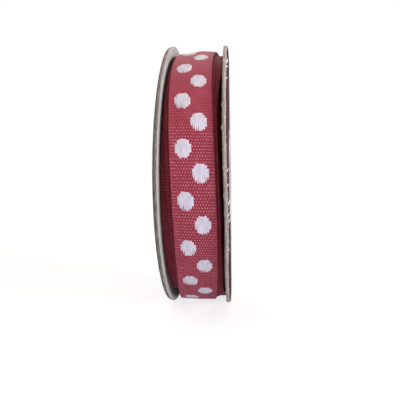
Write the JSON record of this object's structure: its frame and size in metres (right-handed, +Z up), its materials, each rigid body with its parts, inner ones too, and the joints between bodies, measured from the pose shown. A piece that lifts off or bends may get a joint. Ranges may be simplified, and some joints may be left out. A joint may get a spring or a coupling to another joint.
{
  "type": "spool of polka dot ribbon on greyboard discs",
  "caption": "Narrow woven ribbon with pale dots, wound unevenly between round greyboard discs with a centre hole; stands on the rims of its discs.",
  "frame": {"origin": "middle of the spool on the surface it stands on", "axes": "+X along the spool's axis towards the printed disc, +Z up, -Y towards the front"},
  "size_m": [0.018, 0.075, 0.0748],
  "materials": {
    "greyboard": "matte",
    "printed_board": "matte",
    "wine_ribbon": "matte"
  },
  "bodies": {
    "root": {"disc_left": "greyboard", "disc_right": "printed_board", "ribbon_roll": "wine_ribbon"}
  },
  "joints": []
}
